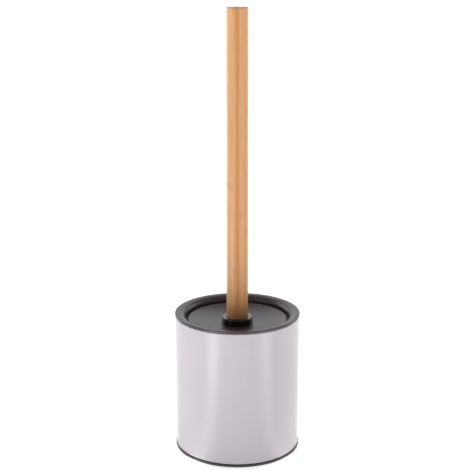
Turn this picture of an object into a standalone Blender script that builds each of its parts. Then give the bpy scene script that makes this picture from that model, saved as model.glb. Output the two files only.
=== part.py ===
"""Toilet brush holder, built as its separate pieces.

A painted steel sleeve stands on a plastic base cap. A plastic liner with a rolled rim drops
into the sleeve. The brush hangs in the liner: a bamboo handle on a glossy collar, a dished lid
that turns on the stem's hub, and a stem that carries the bristle head.

Metres, +Z up. The origin is on the common axis, in the plane that the foot pads rest on.
Every piece is drawn round that axis, so each moving piece has its origin on its joint's axis.
"""

import math

import bpy

MM = 0.001

# Fits
FIT_GAP = 0.3 * MM  # between pieces that touch or are joined
LID_CLEARANCE = 1.9 * MM  # lid's edge to the liner's lip, so that the lid drops in
SKIRT_CLEARANCE = 0.8 * MM  # lid's locating skirt to the bucket wall
BRISTLE_CLEARANCE = 1.4 * MM  # bristle ends to the bucket wall
TIP_CLEARANCE = 5.0 * MM  # bristle tip to the bucket floor

# Sleeve: rolled sheet steel with a hem folded in at each end
SLEEVE_RADIUS = 50.5 * MM
SLEEVE_LENGTH = 109.6 * MM
SHEET = 0.7 * MM
HEM_DEPTH = 5.0 * MM
HEM_FOLD = 0.45 * MM

# Base cap, with a spigot that snaps behind the sleeve's hem, and its foot pads
BASE_BRIM = 0.4 * MM
BASE_THICKNESS = 1.9 * MM
BASE_RECESS_RADIUS = 24.0 * MM
BASE_RECESS_DEPTH = 0.8 * MM
SPIGOT_HEIGHT = 10.0 * MM
SPIGOT_WALL = 1.6 * MM
BEAD_HEIGHT = 1.6 * MM
FOOT_COUNT = 4
FOOT_RADIUS = 7.0 * MM
FOOT_THICKNESS = 1.0 * MM
FOOT_STANDOFF = 0.3 * MM
FOOT_INSET = 12.6 * MM  # pad centres in from the base's edge

# Liner: rolled rim, ledge for the lid, locating skirt and bucket in one moulding
RIM_OVERHANG = 0.4 * MM
RIM_HEIGHT = 2.0 * MM
RIM_WIDTH = 8.5 * MM
CREST_INSET = 1.0 * MM  # flat crest and its outer edge
RIM_FALL = 4.1 * MM  # from the crest down to the lip round the lid
RIM_WALL = 2.2 * MM
LEDGE_WIDTH = 4.0 * MM
LINER_WALL = 1.6 * MM
LINER_SKIRT_DEPTH = 6.8 * MM
BUCKET_TAPER = 1.4 * MM
BUCKET_FLOOR = 1.8 * MM
BUCKET_STANDOFF = 3.4 * MM  # bucket's underside above the base cap's floor
BUCKET_CORNER = 6.0 * MM

# Lid: dished disc with a locating skirt under it
LID_SINK = 1.1 * MM  # lid's edge below the liner's lip
LID_THICKNESS = 2.0 * MM
LID_EDGE = 1.5 * MM  # flat width round the dish
DISH_DEPTH = 4.0 * MM
DISH_FLAT_MARGIN = 0.8 * MM  # flat floor of the dish beyond the collar
LID_SKIRT_DEPTH = 4.0 * MM
LID_SKIRT_WALL = 1.4 * MM
SKIRT_ROOT = 0.5 * MM  # inside of the lid's skirt runs up past the dish by this

# Collar and handle
HANDLE_RADIUS = 8.7 * MM
HANDLE_LENGTH = 251.1 * MM
HANDLE_EDGE = 0.7 * MM
COLLAR_BRIM = 3.8 * MM  # collar stands this far out round the handle
COLLAR_HEIGHT = 5.0 * MM
COLLAR_EDGE = 0.9 * MM
COLLAR_SOCKET_DEPTH = 1.9 * MM

# Stud and its threaded insert
STUD_RADIUS = 3.0 * MM
STUD_IN_HANDLE = 19.0 * MM
STUD_IN_STEM = 20.0 * MM
INSERT_WALL = 1.4 * MM
INSERT_LENGTH = 18.0 * MM
BORE_END_SPACE = 2.0 * MM  # left over past the stud in each bore

# Stem and head core
STEM_WALL = 2.7 * MM
FLANGE_WIDTH = 3.5 * MM
FLANGE_THICKNESS = 2.4 * MM
PLUG_RADIUS = 4.6 * MM
PLUG_LENGTH = 22.0 * MM
CORE_WALL = 4.1 * MM
CORE_LENGTH = 56.0 * MM

# Bristles, as plain rings in the space that the tufts fill
ROW_COUNT = 8
TIP_LENGTH = 10.0 * MM
LOWEST_ROW = 6.0 * MM  # its middle above the core's end
HIGHEST_ROW = 6.0 * MM  # its middle below the core's top
ROW_GAP = 0.5 * MM
ROW_ROOT_SHARE = 0.45  # a row is this thin at the core, against its width at the ends
TOP_ROW_DROP = 4.0 * MM  # the top row is this much shorter than the middle ones
BOTTOM_ROW_DROP = 9.0 * MM
TIP_ROOT_RADIUS = 6.0 * MM
TIP_SPREAD = 19.0 * MM

# Fillets on the edges of the mouldings, from crisp to round
CRISP = 0.2 * MM
FINE = 0.3 * MM
EASED = 0.5 * MM
SOFT = 0.8 * MM
ROOT = 1.2 * MM  # in the corner under a spigot or flange
CORE_SHOULDER = 1.5 * MM
CORE_DOME = 5.0 * MM
TIP_WAIST = 2.0 * MM
TIP_END = 4.0 * MM

# Mesh quality
SIDES = 48
FINE_SIDES = 24
ARC_STEPS = 2
CURVE_STEPS = 6
MERGE = 0.00001
SHARP_ANGLE = math.radians(32)

# Heights, from the floor up
BASE_LOW = FOOT_STANDOFF
BASE_TOP = BASE_LOW + BASE_THICKNESS
SLEEVE_LOW = BASE_TOP + FIT_GAP
SLEEVE_TOP = SLEEVE_LOW + SLEEVE_LENGTH
RIM_LOW = SLEEVE_TOP + FIT_GAP
CREST = RIM_LOW + RIM_HEIGHT
LIP = CREST - RIM_FALL
LID_TOP = LIP - LID_SINK
LEDGE = LID_TOP - LID_THICKNESS - FIT_GAP
BUCKET_LOW = BASE_TOP + BUCKET_STANDOFF
BUCKET_INSIDE = BUCKET_LOW + BUCKET_FLOOR
DISH_LOW = LID_TOP - DISH_DEPTH
COLLAR_LOW = DISH_LOW + FIT_GAP
COLLAR_TOP = COLLAR_LOW + COLLAR_HEIGHT
COLLAR_SEAT = COLLAR_TOP - COLLAR_SOCKET_DEPTH
HANDLE_FOOT = COLLAR_SEAT + FIT_GAP
HANDLE_TOP = HANDLE_FOOT + HANDLE_LENGTH
HUB_TOP = COLLAR_LOW - FIT_GAP
FLANGE_TOP = DISH_LOW - LID_THICKNESS - FIT_GAP
CORE_LOW = BUCKET_INSIDE + TIP_CLEARANCE + TIP_LENGTH
CORE_TOP = CORE_LOW + CORE_LENGTH

# Radii, from the sleeve inwards and from the stud outwards
SLEEVE_INSIDE = SLEEVE_RADIUS - SHEET
HEM_INSIDE = SLEEVE_RADIUS - 2 * SHEET
SPIGOT_RADIUS = HEM_INSIDE - FIT_GAP
BASE_RADIUS = SLEEVE_RADIUS + BASE_BRIM
RIM_RADIUS = SLEEVE_RADIUS + RIM_OVERHANG
CREST_RADIUS = RIM_RADIUS - CREST_INSET
LIP_RADIUS = RIM_RADIUS - RIM_WIDTH
LID_RADIUS = LIP_RADIUS - LID_CLEARANCE
BUCKET_MOUTH = LIP_RADIUS - LEDGE_WIDTH
BUCKET_END = BUCKET_MOUTH - BUCKET_TAPER
LID_SKIRT_RADIUS = BUCKET_MOUTH - SKIRT_CLEARANCE
STUD_BORE = STUD_RADIUS + FIT_GAP
INSERT_RADIUS = STUD_BORE + INSERT_WALL
HUB_RADIUS = STUD_BORE + STEM_WALL
COLLAR_RADIUS = HANDLE_RADIUS + COLLAR_BRIM
SOCKET_RADIUS = PLUG_RADIUS + FIT_GAP
CORE_RADIUS = SOCKET_RADIUS + CORE_WALL
BRISTLE_RADIUS = BUCKET_END - BRISTLE_CLEARANCE


def clear_scene():
    """Removes the objects that the scene starts with."""
    for thing in list(bpy.data.objects):
        bpy.data.objects.remove(thing, do_unlink=True)


def new_collection(name):
    collection = bpy.data.collections.new(name)
    bpy.context.scene.collection.children.link(collection)
    return collection


def new_material(name, colour, roughness, metallic=0.0):
    """A Principled material with one colour, roughness and metallic value."""
    material = bpy.data.materials.new(name)
    material.use_nodes = True
    shader = material.node_tree.nodes["Principled BSDF"]
    shader.inputs["Base Color"].default_value = (*colour, 1.0)
    shader.inputs["Roughness"].default_value = roughness
    shader.inputs["Metallic"].default_value = metallic
    return material


def pivot(name, height, collection, parent=None):
    """An empty on the common axis that carries the pieces of one moving body."""
    empty = bpy.data.objects.new(name, None)
    empty.empty_display_size = 0.02
    empty.location.z = height - body_height(parent)
    empty.parent = parent
    collection.objects.link(empty)
    return empty


def arc(centre, across, up, start, end, steps=CURVE_STEPS):
    """Points on an ellipse round centre, from one angle to another, in degrees from +X."""
    angles = [math.radians(start + (end - start) * i / steps) for i in range(steps + 1)]
    return [(centre[0] + across * math.cos(a), centre[1] + up * math.sin(a)) for a in angles]


def rounded(corners, closed=False):
    """An outline with its corners filleted. A corner is (radius, height) or adds a fillet radius.

    A fillet takes at most half of the shorter edge beside it."""
    outline = []
    count = len(corners)
    for index, corner in enumerate(corners):
        here = corner[:2]
        fillet = corner[2] if len(corner) > 2 else 0.0
        at_end = index in (0, count - 1) and not closed
        if fillet <= 0.0 or at_end:
            outline.append(here)
            continue
        before = corners[index - 1][:2]
        after = corners[(index + 1) % count][:2]
        outline += corner_arc(before, here, after, fillet)
    return outline


def corner_arc(before, here, after, fillet):
    """The arc that rounds one corner, tangent to both edges."""
    back = (before[0] - here[0], before[1] - here[1])
    on = (after[0] - here[0], after[1] - here[1])
    back_length = math.hypot(*back)
    on_length = math.hypot(*on)
    back = (back[0] / back_length, back[1] / back_length)
    on = (on[0] / on_length, on[1] / on_length)
    half = math.acos(max(-1.0, min(1.0, back[0] * on[0] + back[1] * on[1]))) / 2
    reach = min(fillet / math.tan(half), back_length / 2, on_length / 2)
    fillet = reach * math.tan(half)
    bisector = (back[0] + on[0], back[1] + on[1])
    size = math.hypot(*bisector)
    out = fillet / math.sin(half) / size
    centre = (here[0] + bisector[0] * out, here[1] + bisector[1] * out)
    first = math.atan2(here[1] + back[1] * reach - centre[1], here[0] + back[0] * reach - centre[0])
    last = math.atan2(here[1] + on[1] * reach - centre[1], here[0] + on[0] * reach - centre[0])
    turn = (last - first + math.pi) % (2 * math.pi) - math.pi
    angles = [first + turn * i / ARC_STEPS for i in range(ARC_STEPS + 1)]
    return [(centre[0] + fillet * math.cos(a), centre[1] + fillet * math.sin(a)) for a in angles]


def settle(piece):
    """Puts the modifiers' result into the piece's own mesh, smooth with sharp corners."""
    graph = bpy.context.evaluated_depsgraph_get()
    mesh = bpy.data.meshes.new_from_object(piece.evaluated_get(graph))
    mesh.name = piece.name
    mesh.shade_smooth()
    mesh.set_sharp_from_angle(angle=SHARP_ANGLE)
    piece.modifiers.clear()
    piece.data = mesh


def turned(name, outline, material, body, closed=False, sides=SIDES):
    """A piece turned about Z. Its outline lies at +X and runs down its outer side.

    A closed outline makes a ring. An open one starts and ends on the axis."""
    mesh = bpy.data.meshes.new(name)
    edges = [(i, i + 1) for i in range(len(outline) - 1)]
    if closed:
        edges.append((len(outline) - 1, 0))
    mesh.from_pydata([(r, 0.0, z) for r, z in outline], edges, [])
    mesh.materials.append(material)
    piece = bpy.data.objects.new(name, mesh)
    PARTS.objects.link(piece)
    screw = piece.modifiers.new("Turn", "SCREW")
    screw.steps = sides
    screw.render_steps = sides
    screw.use_merge_vertices = True
    screw.merge_threshold = MERGE
    piece.parent = body
    piece.matrix_parent_inverse.translation.z = -body_height(body)
    return piece


def body_height(body):
    """Height of an empty above the floor, through its parents."""
    height = 0.0
    while body:
        height += body.location.z
        body = body.parent
    return height


def cut(piece, cutter):
    """Takes the cutter's shape out of the piece."""
    boolean = piece.modifiers.new("Cut " + cutter.name, "BOOLEAN")
    boolean.operation = "DIFFERENCE"
    boolean.object = cutter


def disc_cutter(name, radius, low, high, centre):
    """A cylinder that cuts a round pocket."""
    bpy.ops.mesh.primitive_cylinder_add(
        vertices=FINE_SIDES,
        radius=radius,
        depth=high - low,
        location=(centre[0], centre[1], (low + high) / 2),
    )
    cutter = bpy.context.object
    cutter.name = name
    cutter.hide_render = True
    cutter.display_type = "WIRE"
    for collection in list(cutter.users_collection):
        collection.objects.unlink(cutter)
    CUTTERS.objects.link(cutter)
    return cutter


def foot_places():
    """Centres of the foot pads, evenly round the base, the first halfway between +X and +Y."""
    reach = BASE_RADIUS - FOOT_INSET
    turns = [(i + 0.5) / FOOT_COUNT * 2 * math.pi for i in range(FOOT_COUNT)]
    return [(reach * math.cos(turn), reach * math.sin(turn)) for turn in turns]


def make_sleeve(body):
    """A C-shaped section: the sheet, folded in on itself for a hem at both ends."""
    corners = [
        (SLEEVE_RADIUS, SLEEVE_TOP, HEM_FOLD),
        (SLEEVE_RADIUS, SLEEVE_LOW, HEM_FOLD),
        (HEM_INSIDE, SLEEVE_LOW, HEM_FOLD),
        (HEM_INSIDE, SLEEVE_LOW + HEM_DEPTH),
        (SLEEVE_INSIDE, SLEEVE_LOW + HEM_DEPTH),
        (SLEEVE_INSIDE, SLEEVE_TOP - HEM_DEPTH),
        (HEM_INSIDE, SLEEVE_TOP - HEM_DEPTH),
        (HEM_INSIDE, SLEEVE_TOP, HEM_FOLD),
    ]
    settle(turned("sleeve", rounded(corners, closed=True), WHITE_PAINT, body, closed=True))


def make_base_cap(body):
    """A floor with a brim under the sleeve, and a spigot whose bead snaps above the hem."""
    bead_low = SLEEVE_LOW + HEM_DEPTH + FIT_GAP
    bead_out = SLEEVE_INSIDE - FIT_GAP
    spigot_top = BASE_TOP + SPIGOT_HEIGHT
    spigot_inside = SPIGOT_RADIUS - SPIGOT_WALL
    corners = [
        (0.0, BASE_TOP),
        (spigot_inside, BASE_TOP, ROOT),
        (spigot_inside, spigot_top, FINE),
        (SPIGOT_RADIUS, spigot_top, EASED),
        (SPIGOT_RADIUS, bead_low + BEAD_HEIGHT),
        (bead_out, bead_low + BEAD_HEIGHT / 2, FINE),
        (SPIGOT_RADIUS, bead_low),
        (SPIGOT_RADIUS, BASE_TOP),
        (BASE_RADIUS, BASE_TOP, FINE),
        (BASE_RADIUS, BASE_LOW, FINE),
        (BASE_RECESS_RADIUS, BASE_LOW, CRISP),
        (BASE_RECESS_RADIUS, BASE_LOW + BASE_RECESS_DEPTH),
        (0.0, BASE_LOW + BASE_RECESS_DEPTH),
    ]
    cap = turned("base_cap", rounded(corners), MATTE_BLACK, body)
    pocket_top = FOOT_THICKNESS + FIT_GAP
    for index, centre in enumerate(foot_places(), 1):
        name = f"foot_pocket_{index}"
        cut(cap, disc_cutter(name, FOOT_RADIUS + FIT_GAP, -BASE_THICKNESS, pocket_top, centre))
    settle(cap)


def make_foot_pads(body):
    """Soft discs that stand a little proud of their pockets."""
    corners = [
        (0.0, FOOT_THICKNESS),
        (FOOT_RADIUS, FOOT_THICKNESS),
        (FOOT_RADIUS, 0.0, FINE),
        (0.0, 0.0),
    ]
    for index, centre in enumerate(foot_places(), 1):
        name = f"foot_pad_{index}"
        pad = turned(name, rounded(corners), PAD_RUBBER, body, sides=FINE_SIDES)
        pad.location = (centre[0], centre[1], 0.0)
        settle(pad)


def make_liner(body):
    """Bucket, ledge, rolled rim and locating skirt, drawn from inside to outside."""
    wall_out = LIP_RADIUS + LINER_WALL
    skirt_out = HEM_INSIDE - FIT_GAP
    skirt_in = skirt_out - LINER_WALL
    skirt_low = RIM_LOW - LINER_SKIRT_DEPTH
    roll = arc((CREST_RADIUS, LIP), CREST_RADIUS - LIP_RADIUS, RIM_FALL, 180, 90)
    corners = [
        (0.0, BUCKET_INSIDE),
        (BUCKET_END, BUCKET_INSIDE, BUCKET_CORNER - LINER_WALL),
        (BUCKET_MOUTH, LEDGE, EASED),
        (LIP_RADIUS, LEDGE, FINE),
        *roll,
        (RIM_RADIUS, CREST, EASED),
        (RIM_RADIUS, RIM_LOW, FINE),
        (skirt_out, RIM_LOW),
        (skirt_out, skirt_low, EASED),
        (skirt_in, skirt_low, EASED),
        (skirt_in, CREST - RIM_WALL),
        (wall_out, LIP),
        (wall_out, LEDGE - LINER_WALL, SOFT),
        (BUCKET_MOUTH + LINER_WALL, LEDGE - LINER_WALL),
        (BUCKET_END + LINER_WALL, BUCKET_LOW, BUCKET_CORNER),
        (0.0, BUCKET_LOW),
    ]
    settle(turned("liner", rounded(corners), MATTE_BLACK, body))


def dish(step, lower=0.0):
    """A point on the lid's dish, from its flat floor (0) out to its edge (1)."""
    start = COLLAR_RADIUS + DISH_FLAT_MARGIN
    end = LID_RADIUS - LID_EDGE
    return (start + (end - start) * step, DISH_LOW + DISH_DEPTH * step * step - lower)


def make_lid(body):
    """A dished disc with a hole for the stem's hub and a skirt that centres it in the bucket."""
    hole = HUB_RADIUS + FIT_GAP
    skirt_low = LEDGE - LID_SKIRT_DEPTH
    skirt_in = LID_SKIRT_RADIUS - LID_SKIRT_WALL
    under = [dish(i / CURVE_STEPS, LID_THICKNESS) for i in range(CURVE_STEPS, -1, -1)]
    under = [point for point in under if point[0] < skirt_in]
    corners = [
        (hole, DISH_LOW),
        *[dish(i / CURVE_STEPS) for i in range(CURVE_STEPS + 1)],
        (LID_RADIUS, LID_TOP, EASED),
        (LID_RADIUS, LID_TOP - LID_THICKNESS, FINE),
        (LID_SKIRT_RADIUS, LID_TOP - LID_THICKNESS),
        (LID_SKIRT_RADIUS, skirt_low, FINE),
        (skirt_in, skirt_low, FINE),
        (skirt_in, under[0][1] + SKIRT_ROOT),
        *under,
        (hole, DISH_LOW - LID_THICKNESS),
    ]
    settle(turned("lid", rounded(corners, closed=True), MATTE_BLACK, body, closed=True))


def make_collar(body):
    """A ring that takes the handle's foot in a shallow socket."""
    corners = [
        (HANDLE_RADIUS + FIT_GAP, COLLAR_TOP, CRISP),
        (COLLAR_RADIUS, COLLAR_TOP, COLLAR_EDGE),
        (COLLAR_RADIUS, COLLAR_LOW, EASED),
        (STUD_BORE, COLLAR_LOW),
        (STUD_BORE, COLLAR_SEAT),
        (HANDLE_RADIUS + FIT_GAP, COLLAR_SEAT),
    ]
    outline = rounded(corners, closed=True)
    settle(turned("collar", outline, GLOSS_BLACK, body, closed=True, sides=FINE_SIDES))


def make_handle(body):
    """A bamboo rod with a blind bore in its foot for the threaded insert."""
    bore = INSERT_RADIUS + FIT_GAP
    bore_end = HANDLE_FOOT + STUD_IN_HANDLE + BORE_END_SPACE
    corners = [
        (0.0, HANDLE_TOP),
        (HANDLE_RADIUS, HANDLE_TOP, HANDLE_EDGE),
        (HANDLE_RADIUS, HANDLE_FOOT, FINE),
        (bore, HANDLE_FOOT),
        (bore, bore_end),
        (0.0, bore_end),
    ]
    settle(turned("handle", rounded(corners), BAMBOO, body, sides=FINE_SIDES))


def make_stud_and_insert(body):
    """The stud runs from the stem up into the insert in the handle."""
    stud_top = HANDLE_FOOT + STUD_IN_HANDLE
    stud_low = HUB_TOP - STUD_IN_STEM
    corners = [
        (0.0, stud_top),
        (STUD_RADIUS, stud_top, EASED),
        (STUD_RADIUS, stud_low, EASED),
        (0.0, stud_low),
    ]
    settle(turned("stud", rounded(corners), ZINC_STEEL, body, sides=FINE_SIDES))
    insert_low = HANDLE_FOOT + FIT_GAP
    ring = [
        (INSERT_RADIUS, insert_low + INSERT_LENGTH, FINE),
        (INSERT_RADIUS, insert_low, FINE),
        (STUD_BORE, insert_low),
        (STUD_BORE, insert_low + INSERT_LENGTH),
    ]
    outline = rounded(ring, closed=True)
    settle(turned("handle_insert", outline, BRASS, body, closed=True, sides=FINE_SIDES))


def make_stem(body):
    """Hub through the lid, flange under it, shaft, and a plug for the head core."""
    bore_end = HUB_TOP - STUD_IN_STEM - BORE_END_SPACE
    shaft_low = CORE_TOP + FIT_GAP
    plug_low = CORE_TOP - PLUG_LENGTH
    corners = [
        (0.0, bore_end),
        (STUD_BORE, bore_end),
        (STUD_BORE, HUB_TOP),
        (HUB_RADIUS, HUB_TOP, FINE),
        (HUB_RADIUS, FLANGE_TOP),
        (HUB_RADIUS + FLANGE_WIDTH, FLANGE_TOP, FINE),
        (HUB_RADIUS + FLANGE_WIDTH, FLANGE_TOP - FLANGE_THICKNESS, SOFT),
        (HUB_RADIUS, FLANGE_TOP - FLANGE_THICKNESS, ROOT),
        (HUB_RADIUS, shaft_low, FINE),
        (PLUG_RADIUS, shaft_low),
        (PLUG_RADIUS, plug_low, EASED),
        (0.0, plug_low),
    ]
    settle(turned("stem", rounded(corners), MATTE_BLACK, body, sides=FINE_SIDES))


def make_head_core(body):
    """A socketed core with a domed end, for the tufts."""
    socket_end = CORE_TOP - PLUG_LENGTH - FIT_GAP
    corners = [
        (0.0, socket_end),
        (SOCKET_RADIUS, socket_end),
        (SOCKET_RADIUS, CORE_TOP),
        (CORE_RADIUS, CORE_TOP, CORE_SHOULDER),
        (CORE_RADIUS, CORE_LOW, CORE_DOME),
        (0.0, CORE_LOW),
    ]
    settle(turned("head_core", rounded(corners), MATTE_BLACK, body, sides=FINE_SIDES))


def row_radius(share):
    """Reach of the bristles from the bottom row (0) to the top row (1): a barrel."""
    from_middle = 2 * share - 1
    drop = TOP_ROW_DROP if from_middle > 0 else BOTTOM_ROW_DROP
    return BRISTLE_RADIUS - drop * from_middle * from_middle


def make_bristles(body):
    """A ring for each row of tufts, thin at the core and wide at the ends, and the tip."""
    lowest = CORE_LOW + LOWEST_ROW
    pitch = (CORE_TOP - HIGHEST_ROW - lowest) / (ROW_COUNT - 1)
    half = (pitch - ROW_GAP) / 2
    root = CORE_RADIUS + FIT_GAP
    for index in range(ROW_COUNT):
        middle = lowest + index * pitch
        reach = row_radius(index / (ROW_COUNT - 1))
        corners = [
            (root, middle + half * ROW_ROOT_SHARE),
            (reach, middle + half),
            (reach, middle - half),
            (root, middle - half * ROW_ROOT_SHARE),
        ]
        name = f"bristle_row_{index + 1}"
        settle(turned(name, corners, NYLON, body, closed=True, sides=FINE_SIDES))
    tip_top = CORE_LOW - FIT_GAP
    corners = [
        (0.0, tip_top),
        (TIP_ROOT_RADIUS, tip_top),
        (TIP_SPREAD, CORE_LOW - TIP_LENGTH / 2, TIP_WAIST),
        (TIP_ROOT_RADIUS, CORE_LOW - TIP_LENGTH, TIP_END),
        (0.0, CORE_LOW - TIP_LENGTH),
    ]
    settle(turned("bristle_tip", rounded(corners), NYLON, body, sides=FINE_SIDES))


clear_scene()
PARTS = new_collection("toilet_brush_holder")
CUTTERS = new_collection("cutters")
WHITE_PAINT = new_material("satin_white_paint", (0.68, 0.64, 0.67), 0.32)
MATTE_BLACK = new_material("matte_black_plastic", (0.022, 0.021, 0.024), 0.6)
GLOSS_BLACK = new_material("gloss_black_plastic", (0.006, 0.006, 0.007), 0.12)
BAMBOO = new_material("bamboo", (0.66, 0.40, 0.19), 0.45)
PAD_RUBBER = new_material("pad_rubber", (0.03, 0.03, 0.03), 0.85)
BRASS = new_material("brass", (0.72, 0.52, 0.2), 0.3, 1.0)
ZINC_STEEL = new_material("zinc_steel", (0.62, 0.63, 0.65), 0.35, 1.0)
NYLON = new_material("white_nylon", (0.82, 0.82, 0.8), 0.5)

holder = pivot("holder", 0.0, PARTS)
liner_slide = pivot("liner_slide", RIM_LOW, PARTS, holder)
lid_slide = pivot("lid_slide", LID_TOP, PARTS, liner_slide)
brush_spin = pivot("brush_spin", HUB_TOP, PARTS, lid_slide)

make_sleeve(holder)
make_base_cap(holder)
make_foot_pads(holder)
make_liner(liner_slide)
make_lid(lid_slide)
make_collar(brush_spin)
make_handle(brush_spin)
make_stud_and_insert(brush_spin)
make_stem(brush_spin)
make_head_core(brush_spin)
make_bristles(brush_spin)
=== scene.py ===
"""Looks of the toilet brush holder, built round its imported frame.

Every piece is a skin: grids of points worked out from a formula, joined into one closed mesh.
Lengths are in millimetres until skin() writes them into a mesh, and angles are in radians.
Each piece has its place in its mesh, so Object coordinates are the frame's own, in metres.
"""

import math

import bpy
import numpy as np
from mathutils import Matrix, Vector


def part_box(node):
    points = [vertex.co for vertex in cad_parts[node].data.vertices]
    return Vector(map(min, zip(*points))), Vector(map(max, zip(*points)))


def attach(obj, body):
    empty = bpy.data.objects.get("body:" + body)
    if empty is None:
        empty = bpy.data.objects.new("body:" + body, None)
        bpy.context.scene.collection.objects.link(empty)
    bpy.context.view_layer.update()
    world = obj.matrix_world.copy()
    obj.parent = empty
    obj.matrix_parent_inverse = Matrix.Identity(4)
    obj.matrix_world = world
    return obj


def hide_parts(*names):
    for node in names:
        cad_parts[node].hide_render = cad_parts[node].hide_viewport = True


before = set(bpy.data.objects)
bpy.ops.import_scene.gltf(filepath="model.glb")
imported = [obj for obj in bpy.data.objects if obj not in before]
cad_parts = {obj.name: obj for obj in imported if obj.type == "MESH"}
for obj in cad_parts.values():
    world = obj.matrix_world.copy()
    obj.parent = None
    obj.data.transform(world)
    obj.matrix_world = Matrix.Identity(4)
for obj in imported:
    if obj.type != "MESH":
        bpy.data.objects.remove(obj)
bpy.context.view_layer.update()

MM = 0.001
TURN = 2 * math.pi
FIT_GAP = 0.3

# Turned skins
SIDES = 256
FINE_SIDES = 128
FILLET_STEPS = 8
CURVE_STEPS = 28
SHARP_ANGLE = math.radians(35)
MERGE_PLACES = 6  # decimals of a millimetre within which points are one

# Sleeve
SHEET = 0.7
HEM_DEPTH = 5.0
HEM_OPENING = 0.1  # between the folded leaf and the wall, at the leaf's free end
HEM_OPENING_DEPTH = 0.8
SEAM_TURN = TURN / 4  # the weld faces the back
SEAM_WIDTH = 0.3
SEAM_DEPTH = 0.12
SEAM_BEAD = 0.15
SEAM_STEPS = 18

# Base cap and its foot pads
FOOT_COUNT = 4
SPIGOT_HEIGHT = 10.0
SPIGOT_WALL = 1.6
BASE_THICKNESS = 1.9
BEAD_HEIGHT = 1.6
RECESS_RADIUS = 24.0
RECESS_DEPTH = 0.8
RECESS_DRAFT = 0.1
BRIM_FILLET = 0.3
PANEL_STEPS = 24
POCKET_STEPS = 6

# Liner
RIM_HEIGHT = 2.0
RIM_WIDTH = 8.5
CREST_INSET = 1.0
RIM_FALL = 4.1
RIM_WALL = 2.2
LEDGE_WIDTH = 4.0
LINER_WALL = 1.6
LINER_SKIRT_DEPTH = 6.8
BUCKET_TAPER = 1.4
BUCKET_FLOOR = 1.8
BUCKET_CORNER = 6.0

# Lid
LID_THICKNESS = 2.0
LID_EDGE = 1.5
DISH_DEPTH = 4.0
DISH_FLAT_MARGIN = 0.8
LID_SKIRT_WALL = 1.4
SKIRT_CLEARANCE = 0.8

# Collar, handle and the pieces inside them
COLLAR_SOCKET_DEPTH = 1.9
HANDLE_EDGE = 0.7
INSERT_WALL = 1.4
BORE_END_SPACE = 2.0
STUD_PITCH = 1.0
STUD_THREAD = 0.55
STUD_CHAMFER = 0.4
INSERT_PITCH = 2.25
INSERT_THREAD = 0.75
INSERT_SHARPNESS = 3
ROWS_PER_PITCH = 10

# Stem and head core
FLANGE_WIDTH = 3.5
FLANGE_DROP = 2.3  # flange's top below the hub's top
FLANGE_THICKNESS = 2.4
PLUG_RADIUS = 4.6
PLUG_LENGTH = 22.0
CORE_SHOULDER = 1.5
CORE_DOME = 5.0
CORE_SIDE_ENDS = 1.6, 5.1  # where the drilled side ends, from the core's top and from its tip
CORE_SIDE_ROWS = 200

# Bristles
ROW_COUNT = 8
TUFTS_PER_ROW = 16
FILAMENTS_PER_TUFT = 34
FILAMENT_RADIUS = 0.21
FILAMENT_SIDES = 3
FILAMENT_STATIONS = 12
TUFT_RADIUS = 1.35
TUFT_FAN_ROUND = 3.6, 0.7  # spread of a tuft's ends to that of its roots, and the ends' scatter
TUFT_FAN_UP = 2.1, 0.45
HOLE_RADIUS = 1.55
HOLE_EDGE = 0.25
HOLE_DEPTH = 1.1
ROOT_DEPTH = 2.0
CRIMP_HEIGHT = 0.22
CRIMP_LENGTH = 7.0
TRIM_SPREAD = 0.5
TIP_FILAMENTS = 260
TIP_ROOT_RADIUS = 6.0
TIP_ROOT_DEPTH = 2.5
TIP_RISE = 5.0
SEED = 7

# Bamboo strips, in metres
STRIP_SWAY = 0.0012
STRIP_COLUMN = 0.0031, 0.0044  # offset of the joints between strips, and a strip's width
STRIP_LAYER = 0.0105, 0.0125
NODE_SPACING = 0.21
NODE_SHIFT = 0.19  # a strip's nodes are shifted by up to this
MIDDLE_BAND = -0.0006, 0.0011, 0.002  # a darker band down the middle of x: its offset, and from where to where it fades

# Studio, in metres and degrees. Azimuth 0 is the camera's side and 90 the left.
CAMERA_DISTANCE = 0.91283
CAMERA_HEIGHT = 0.41634
CAMERA_TILT = 13.618
CAMERA_SENSOR = 36.0
CAMERA_LENS = 89.72
CAMERA_SHIFT = (-0.00493, -0.04177)
CAMERA_REACH = 60.0
FLOOR_HALF = 40.0
FLOOR_GLOW = 0.65
FAR_FLOOR_GLOW = 1.1
FLOOR_GLOW_CHANGE = 0.5, 2.5  # distance from the object from one glow to the other
# Painted light: two pools of glow in the floor's emission, which the paint reflects as bands
PAINTED_LIGHT_POOLS = (42, 9, 2.6), (-50, 9, 1.5)  # azimuth, half width, strength
PAINTED_POOL_RISE = 0.06, 0.35, 0.35, 1.4  # distance from one to the other, and share of strength there
HORIZON = 0.03, 0.10, 1.05, 0.26  # rise above the horizon from one to the other, and light there
SOFTBOX_AIM = 0.12
SOFTBOX_DISTANCE = 2.0
SOFTBOXES = (  # name, azimuth, elevation, width, height, power
    ("left_front_box", 60, 25, 0.5, 1.5, 2.2),
    ("left_back_box", 130, 22, 1.2, 1.5, 9.2),
    ("back_box", 180, 22, 1.6, 1.3, 5.8),
    ("right_back_box", -125, 22, 1.2, 1.5, 7.0),
)


# ---------------------------------------------------------------- shapes


def reach_of(node):
    """(outer radius, lowest height, highest height) of a CAD node on the common axis."""
    low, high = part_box(node)
    return high.x / MM, low.z / MM, high.z / MM


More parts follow.
